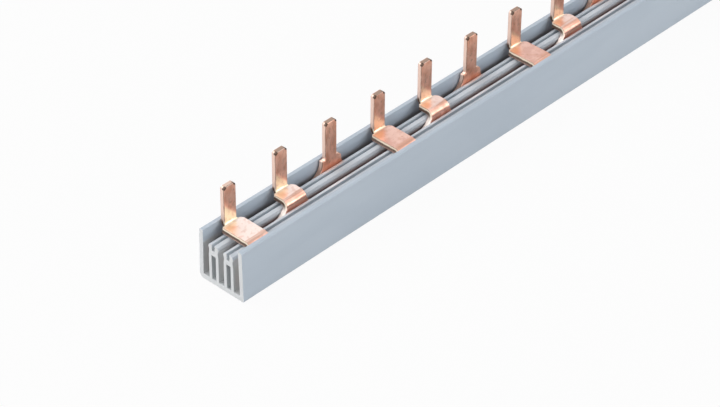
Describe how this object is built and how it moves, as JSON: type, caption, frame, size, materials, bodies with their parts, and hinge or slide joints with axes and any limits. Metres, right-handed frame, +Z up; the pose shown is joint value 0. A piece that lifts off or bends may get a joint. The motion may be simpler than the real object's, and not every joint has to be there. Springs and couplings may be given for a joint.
{
  "type": "comb busbar",
  "caption": "Insulated comb busbar: an open, channelled plastic housing holding stamped copper combs whose bent tongues bring their pins into line.",
  "frame": {"origin": "middle of the housing's flat base, at the bottom centre of the bounding box", "axes": "+X along the bar, away from the end that the picture shows; +Y from the front wall towards the row of pins; +Z up along the pins"},
  "size_m": [0.2118, 0.0154, 0.0267],
  "materials": {
    "grey_plastic": "smooth extruded, slightly satin",
    "copper": null
  },
  "bodies": {
    "root": {"housing": "grey_plastic", "front_comb": "copper", "middle_comb": "copper", "rear_comb": "copper"}
  },
  "joints": []
}
